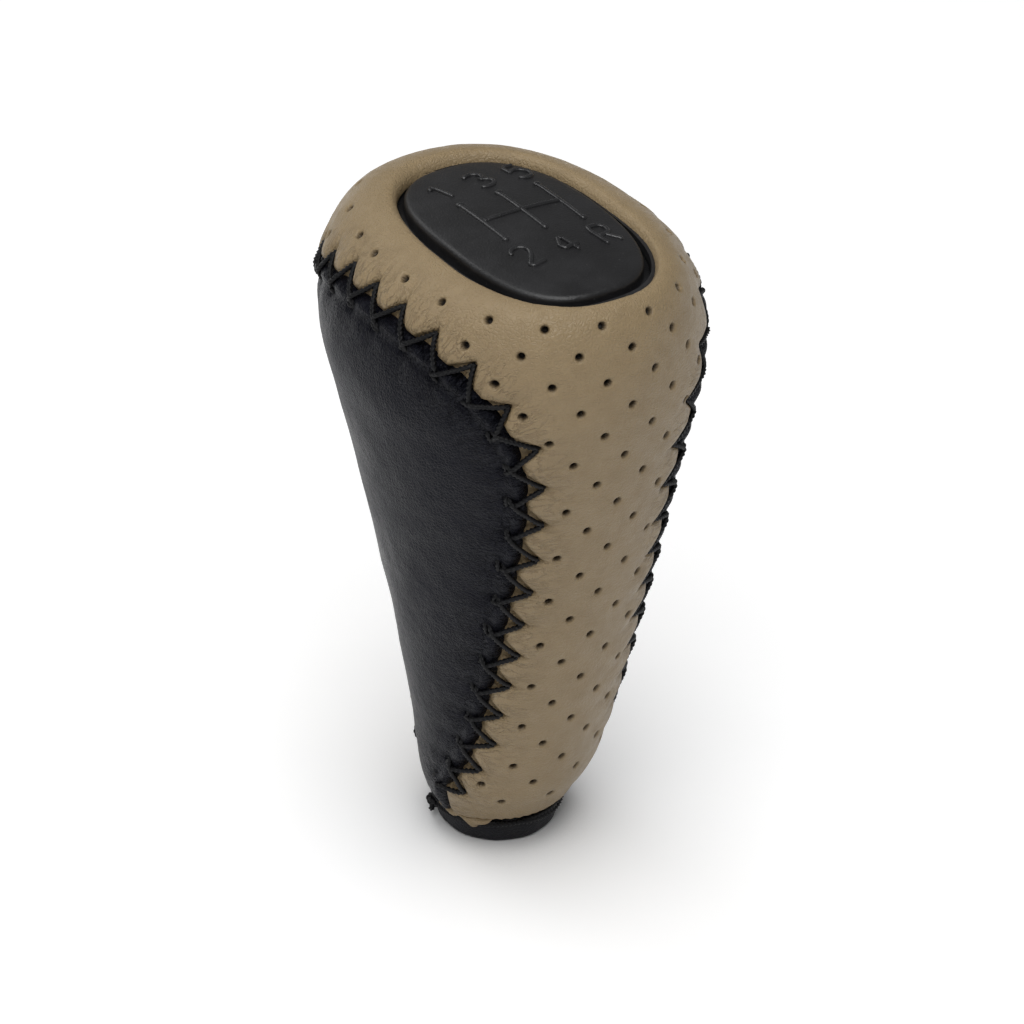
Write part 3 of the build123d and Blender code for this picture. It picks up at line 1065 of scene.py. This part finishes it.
def band_finish(leather):
    """Rolled black leather without the lacing's creases."""
    material, tree, shader = new_finish("neck_band_leather")
    vector = place_vector(tree)
    broad = noise_at(tree, vector, 240.0, detail=4.0)
    tone = worn_tone(tree, ramp(tree, broad, 0.4, 0.75, 0.0, 0.7), leather.black, 2.4)
    normal = bump(tree, grain(tree, vector, 0.0005), 0.45, 0.0001)
    normal = bump(tree, broad, 0.5, 0.0006, normal)
    dress(tree, shader, tone, ramp(tree, broad, 0.3, 0.7, 0.4, 0.56), normal, 0.26)
    return material


def thread_finish(lacing):
    """Waxed black thread with fine fibres along its strands."""
    material, tree, shader = new_finish("lacing_thread")
    fibre = noise_at(tree, place_vector(tree), 5200.0, roughness=0.65)
    tone = worn_tone(tree, ramp(tree, fibre, 0.4, 0.75), lacing.thread, 3.2)
    roughness = ramp(tree, fibre, 0.3, 0.7, 0.42, 0.6)
    dress(tree, shader, tone, roughness, bump(tree, fibre, 0.5, 0.00008), 0.24)
    return material


def plate_finish(plate, name, gloss_and_highlight):
    """Finely sparked black plastic with faint scuffs; a gain above one lowers the roughness and lightens the
    colour as a painted highlight.
    """
    material, tree, shader = new_finish(name)
    vector = place_vector(tree)
    spark = noise_at(tree, vector, 2900.0, roughness=0.6)
    broad = noise_at(tree, vector, 160.0, detail=5.0, roughness=0.65)
    flecks = ramp(tree, noise_at(tree, vector, 1500.0, detail=2.0), 0.70, 0.78)
    fresh = tuple(gloss_and_highlight * c for c in plate.plastic)
    tone = worn_tone(tree, ramp(tree, broad, 0.45, 0.75, 0.0, 0.5), fresh, 2.6)
    tone = blend_colour(tree, combine(tree, "MULTIPLY", flecks, 0.22), tone, (0.16, 0.16, 0.16))
    roughness = ramp(tree, broad, 0.3, 0.75, 0.34 / gloss_and_highlight, 0.52 / gloss_and_highlight)
    dress(tree, shader, tone, roughness, bump(tree, spark, 0.45, 0.00014), 0.6)
    return material


def core_finish(plate):
    """Moulded knob under the leather, seen only at the socket."""
    material, tree, shader = new_finish("core_plastic")
    mottle = noise_at(tree, place_vector(tree), 700.0, detail=4.0)
    tone = worn_tone(tree, ramp(tree, mottle, 0.35, 0.7), plate.plastic, 1.9)
    roughness = ramp(tree, mottle, 0.3, 0.7, 0.45, 0.6)
    dress(tree, shader, tone, roughness, bump(tree, mottle, 0.2, 0.0001), 0.5)
    return material


def seat_piece(obj, material, slot, *nodes):
    """Gives a piece its finish and ties it to the frame."""
    obj.data.materials.clear()
    obj.data.materials.append(material)
    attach(obj, "root")
    if nodes:
        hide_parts(*nodes)


def knob_seam(context):
    skin = Skin()
    return skin, Seam(skin, context.scene.knob_lacing)


class KNOB_OT_perforated_leather(bpy.types.Operator):
    """Builds the punched beige leather over the rear, the front and the rim"""

    bl_idname = "knob.perforated_leather"
    bl_label = "Perforated leather"

    def execute(self, context):
        leather = context.scene.knob_leather
        skin, seam = knob_seam(context)
        panel = perforated_leather(skin, seam, leather)
        seat_piece(panel, beige_finish(leather), "beige_leather", "perforated_panel")
        hem = new_object("beige_hem_end", *hem_end())
        add_values(hem, "aside", np.full(len(hem.data.vertices), 9.0))
        seat_piece(hem, panel.data.materials[0], "beige_leather")
        return {"FINISHED"}


class KNOB_OT_side_leather(bpy.types.Operator):
    """Builds the black leather panels on the left and the right"""

    bl_idname = "knob.side_leather"
    bl_label = "Side leather"

    def execute(self, context):
        leather = context.scene.knob_leather
        skin, seam = knob_seam(context)
        finish = black_finish(leather)
        for name, side in (("left_side", -1), ("right_side", 1)):
            panel = side_leather(f"{name}_leather", skin, seam, leather, side)
            seat_piece(panel, finish, "black_leather", f"{name}_panel")
        return {"FINISHED"}


class KNOB_OT_lacing(bpy.types.Operator):
    """Laces the panels together with twisted thread along both seams"""

    bl_idname = "knob.lacing"
    bl_label = "Lacing"

    def execute(self, context):
        lacing, leather = context.scene.knob_lacing, context.scene.knob_leather
        skin, seam = knob_seam(context)
        lines = stitch_legs(skin, seam, lacing, leather)
        finish = thread_finish(lacing)
        for name, side in (("left_lacing", -1), ("right_lacing", 1)):
            seat_piece(lacing_thread(f"{name}_thread", lines, lacing, side), finish, "black_thread", name)
        return {"FINISHED"}


class KNOB_OT_neck(bpy.types.Operator):
    """Builds the rolled strip round the neck and the thread tied over it"""

    bl_idname = "knob.neck"
    bl_label = "Neck band and tie"

    def execute(self, context):
        lacing, leather = context.scene.knob_lacing, context.scene.knob_leather

        def wobble(turn, share):
            outer = np.sin(np.pi * np.clip(share * 1.15, 0.0, 1.0))
            more = 0.1 * np.sin(5.0 * turn + 1.0) + 0.07 * np.sin(11.0 * turn + 2.0)
            return outer * more, 0.06 * outer * np.sin(3.0 * turn)

        band = new_object("neck_band_roll", *lathe(band_profile(), 180, wobble))
        seat_piece(band, band_finish(leather), "black_leather", "neck_band")
        radius, twist = mm(lacing.radius), mm(lacing.twist)
        around = BAND_RADIUS + radius + 0.25
        lines = [
            ring_line(around, 4.0, -106, 254, 0.14, 0.4),
            ring_line(around + 0.05, 3.5, -100, 30, 0.35, 1.9),
            ring_line(around + 0.1, 3.75, -10, 120, -0.4, 0.6),
        ]
        turn = math.radians(-105)
        centre = ((around + 0.4) * math.sin(turn), -(around + 0.4) * math.cos(turn), 2.6)
        lines.append(knot_line(centre, 1.15))
        tie = new_object("neck_tie_thread", *joined([rope(line, radius, twist) for line in lines]))
        seat_piece(tie, thread_finish(lacing), "black_thread", "neck_tie")
        return {"FINISHED"}


class KNOB_OT_shift_plate(bpy.types.Operator):
    """Builds the shift plate with its raised gate and numbers"""

    bl_idname = "knob.shift_plate"
    bl_label = "Shift plate"

    def execute(self, context):
        plate = context.scene.knob_plate
        pad = new_object("shift_plate_pad", *plate_body())
        seat_piece(pad, plate_finish(plate, "plate_plastic", 1.0), "plate_plastic", "shift_plate")
        relief = new_object("shift_plate_gate", *gate_and_numbers(plate))
        # The raised gate and numbers take a lighter, glossier copy of the plate plastic: painted highlight on
        # the raised lines
        seat_piece(relief, plate_finish(plate, "gate_plastic", 1.5), "plate_plastic")
        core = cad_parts["knob_core"]
        core.data.materials.clear()
        core.data.materials.append(core_finish(plate))
        return {"FINISHED"}


class KNOB_OT_stage(bpy.types.Operator):
    """Sets up the floor, the lights, the surroundings and the camera"""

    bl_idname = "knob.stage"
    bl_label = "Stage"

    def execute(self, context):
        stage = context.scene.knob_stage
        scene = context.scene
        scene.view_settings.view_transform = "Standard"
        self.floor(stage)
        self.surroundings(scene, stage)
        self.light(scene, "key", (-0.27, -0.28, 0.92), (0.0, 0.0, 0.06), 0.85, stage.key_power)
        self.light(scene, "fill", (0.75, -0.45, 0.45), (0.0, 0.0, 0.05), 0.6, stage.fill_power)
        self.light(scene, "back", (-0.2, 0.75, 0.7), (0.0, 0.0, 0.08), 0.6, stage.back_power)
        self.camera(scene, stage)
        return {"FINISHED"}

    def floor(self, stage):
        half = 3000.0
        corners = [(-half, -half, 0.0), (half, -half, 0.0), (half, half, 0.0), (-half, half, 0.0)]
        floor = new_object("floor", corners, [[0, 1, 2, 3]], smooth=False)
        material, tree, shader = new_finish("floor_sheet")
        shader.inputs["Base Color"].default_value = (*stage.floor, 1.0)
        shader.inputs["Roughness"].default_value = 0.9
        shader.inputs["Specular IOR Level"].default_value = 0.0
        path = node(tree, "ShaderNodeLightPath")
        seen = combine(tree, "MAXIMUM", path.outputs["Is Camera Ray"], path.outputs["Is Glossy Ray"])
        seen = combine(tree, "MAXIMUM", seen, path.outputs["Is Transmission Ray"])
        shader.inputs["Emission Color"].default_value = (1.0, 1.0, 1.0, 1.0)
        # The floor glows white for camera, glossy and transmission rays; ambient occlusion fades the glow
        # near the knob, a painted contact shadow over the floor's lit shadow
        near = node(tree, "ShaderNodeAmbientOcclusion", samples=16, Distance=0.055)
        glow_with_painted_shadow = ramp(tree, near.outputs["AO"], 0.45, 0.92, 0.0, 0.52)
        tree.links.new(combine(tree, "MULTIPLY", seen, glow_with_painted_shadow), shader.inputs["Emission Strength"])
        floor.data.materials.append(material)
        return floor

    def surroundings(self, scene, stage):
        world = bpy.data.worlds.new("studio")
        scene.world = world
        world.use_nodes = True
        tree = world.node_tree
        background = tree.nodes["Background"]
        background.inputs["Color"].default_value = (1.0, 1.0, 1.0, 1.0)
        path = node(tree, "ShaderNodeLightPath")
        seen = combine(tree, "MAXIMUM", path.outputs["Is Camera Ray"], path.outputs["Is Transmission Ray"])
        strength = combine(tree, "ADD", stage.ambient, combine(tree, "MULTIPLY", seen, 1.0 - stage.ambient))
        tree.links.new(strength, background.inputs["Strength"])

    def light(self, scene, name, place, target, size, power):
        data = bpy.data.lights.new(name, "AREA")
        data.shape = "DISK"
        data.size = size
        data.energy = power
        lamp = bpy.data.objects.new(name, data)
        aim = Vector(target) - Vector(place)
        lamp.matrix_world = Matrix.Translation(place) @ aim.to_track_quat("-Z", "Y").to_matrix().to_4x4()
        scene.collection.objects.link(lamp)

    def camera(self, scene, stage):
        turn, tilt = stage.azimuth, stage.elevation
        back = Vector((math.sin(turn) * math.cos(tilt), -math.cos(turn) * math.cos(tilt), math.sin(tilt)))
        right = Vector((math.cos(turn), math.sin(turn), 0.0))
        up = back.cross(right)
        right_rolled = right * math.cos(stage.roll) + up * math.sin(stage.roll)
        up_rolled = up * math.cos(stage.roll) - right * math.sin(stage.roll)
        place = right * stage.target_side + Vector((0.0, 0.0, stage.target_level)) + back * stage.distance
        data = bpy.data.cameras.new("camera")
        data.lens = stage.lens
        data.sensor_width = 36.0
        data.sensor_fit = "HORIZONTAL"
        data.clip_start = 0.01
        camera = bpy.data.objects.new("camera", data)
        turned = Matrix((right_rolled, up_rolled, back)).transposed().to_4x4()
        camera.matrix_world = Matrix.Translation(place) @ turned
        scene.collection.objects.link(camera)
        scene.camera = camera


class KNOB_PT_panel(bpy.types.Panel):
    """Sizes, colours and steps of the gear knob"""

    bl_idname = "KNOB_PT_panel"
    bl_label = "Gear Knob"
    bl_space_type = "VIEW_3D"
    bl_region_type = "UI"
    bl_category = "Gear Knob"

    def draw(self, context):
        layout = self.layout
        for group in ("knob_leather", "knob_lacing", "knob_plate", "knob_stage"):
            box = layout.box()
            settings = getattr(context.scene, group)
            for key in settings.__annotations__:
                box.prop(settings, key)
        for operator in OPERATORS:
            layout.operator(operator.bl_idname)


SETTINGS = {
    "knob_leather": KnobLeatherSettings,
    "knob_lacing": KnobLacingSettings,
    "knob_plate": KnobPlateSettings,
    "knob_stage": KnobStageSettings,
}
OPERATORS = (
    KNOB_OT_perforated_leather,
    KNOB_OT_side_leather,
    KNOB_OT_lacing,
    KNOB_OT_neck,
    KNOB_OT_shift_plate,
    KNOB_OT_stage,
)


def register():
    for kind in (*SETTINGS.values(), *OPERATORS, KNOB_PT_panel):
        bpy.utils.register_class(kind)
    for name, kind in SETTINGS.items():
        setattr(bpy.types.Scene, name, PointerProperty(type=kind))


def unregister():
    for name in SETTINGS:
        delattr(bpy.types.Scene, name)
    for kind in (KNOB_PT_panel, *reversed(OPERATORS), *reversed(SETTINGS.values())):
        bpy.utils.unregister_class(kind)


def main():
    register()
    bpy.ops.knob.perforated_leather()
    bpy.ops.knob.side_leather()
    bpy.ops.knob.lacing()
    bpy.ops.knob.neck()
    bpy.ops.knob.shift_plate()
    bpy.ops.knob.stage()


if __name__ == "__main__":
    main()
